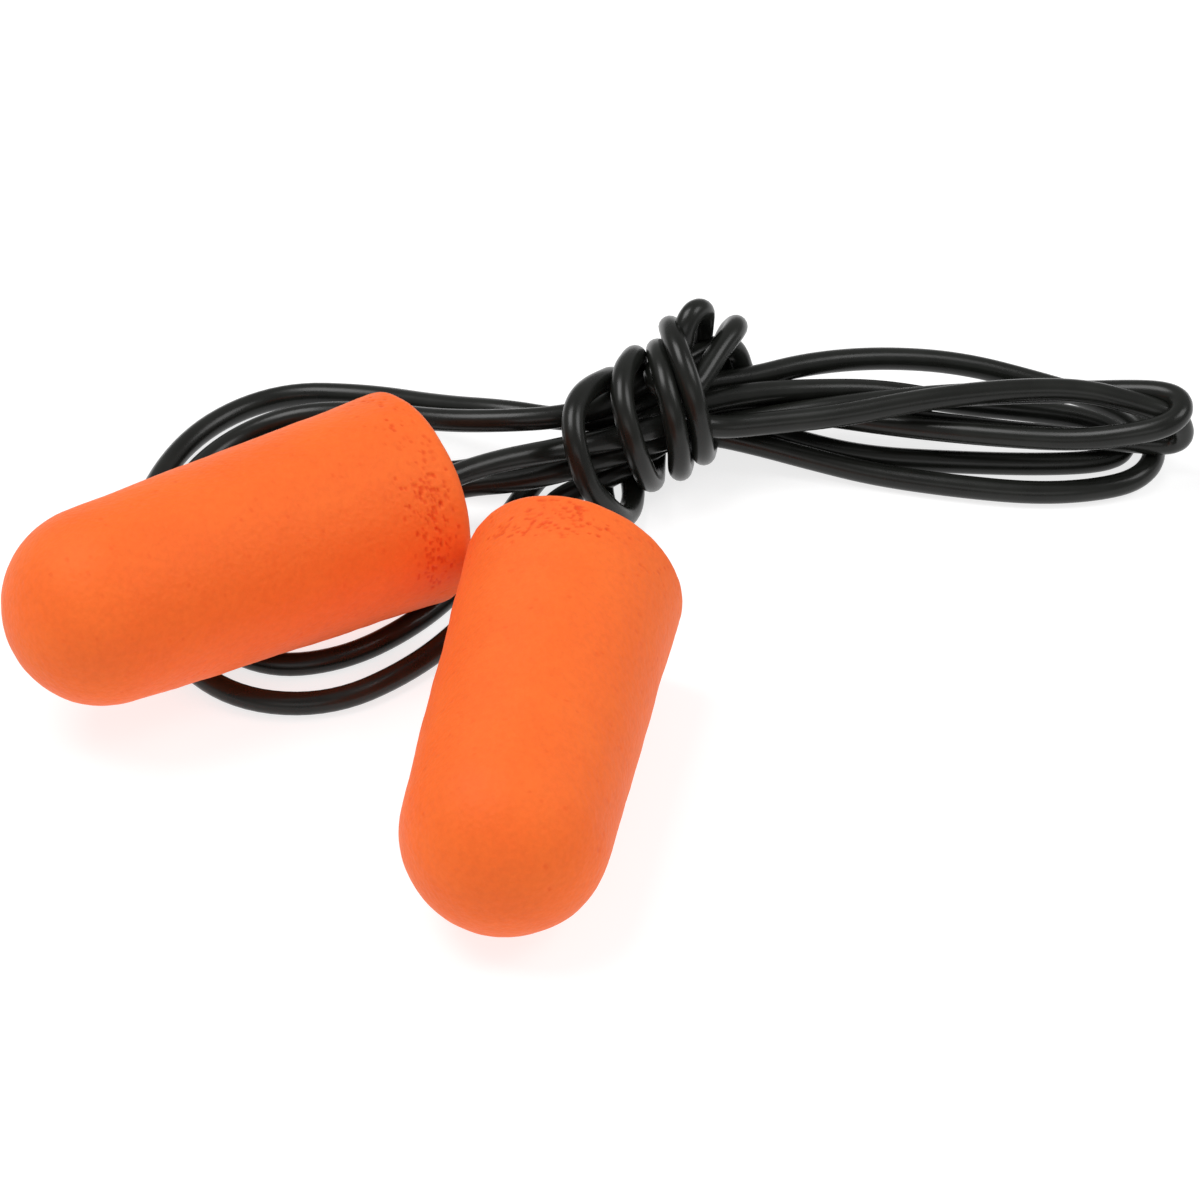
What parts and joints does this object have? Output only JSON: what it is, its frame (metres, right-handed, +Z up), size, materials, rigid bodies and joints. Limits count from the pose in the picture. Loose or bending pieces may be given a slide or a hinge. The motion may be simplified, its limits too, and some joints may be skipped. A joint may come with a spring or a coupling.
{
  "type": "corded ear plugs",
  "caption": "Tapered soft foam ear plugs with rounded tips, joined by a thin glossy cord glued into their bases and folded into a hank wound round its own middle.",
  "frame": {"origin": "on the plane the object lies on, under the middle of the box round the two foam plugs and their glue bonds", "axes": "+Z up from the plane the object lies on; +X towards the folded loops on the far side of the wound middle from the plugs; +Y away from the front plug's tip"},
  "size_m": [0.065, 0.0483, 0.0131],
  "materials": {
    "plug_foam": "matte, fine closed-cell foam skin",
    "cord": "glossy flexible PVC",
    "glue": "cured flexible glue"
  },
  "bodies": {
    "hank": {"cord_wrap": "cord", "cord_lead_left": "cord", "cord_lead_front": "cord", "cord_left_loop_outer": "cord", "cord_left_loop_middle": "cord", "cord_left_loop_inner": "cord", "cord_right_loop_1": "cord", "cord_right_loop_2": "cord", "cord_right_loop_3": "cord", "cord_right_loop_4": "cord"},
    "plug_left": {"foam_plug_left": "plug_foam", "glue_bond_left": "glue", "cord_tail_left": "cord"},
    "plug_front": {"foam_plug_front": "plug_foam", "glue_bond_front": "glue", "cord_tail_front": "cord"}
  },
  "joints": [
    {"name": "left_plug_swing", "type": "hinge", "parent": "hank", "child": "plug_left", "pos_m": [0.0035, 0.0134, 0.00592], "axis": [-0.5592, 0.829, 0], "range_deg": [0, 40]},
    {"name": "front_plug_swing", "type": "hinge", "parent": "hank", "child": "plug_front", "pos_m": [0.0123, 0.0065, 0.006], "axis": [-0.9826, 0.1857, 0], "range_deg": [0, 25]}
  ]
}
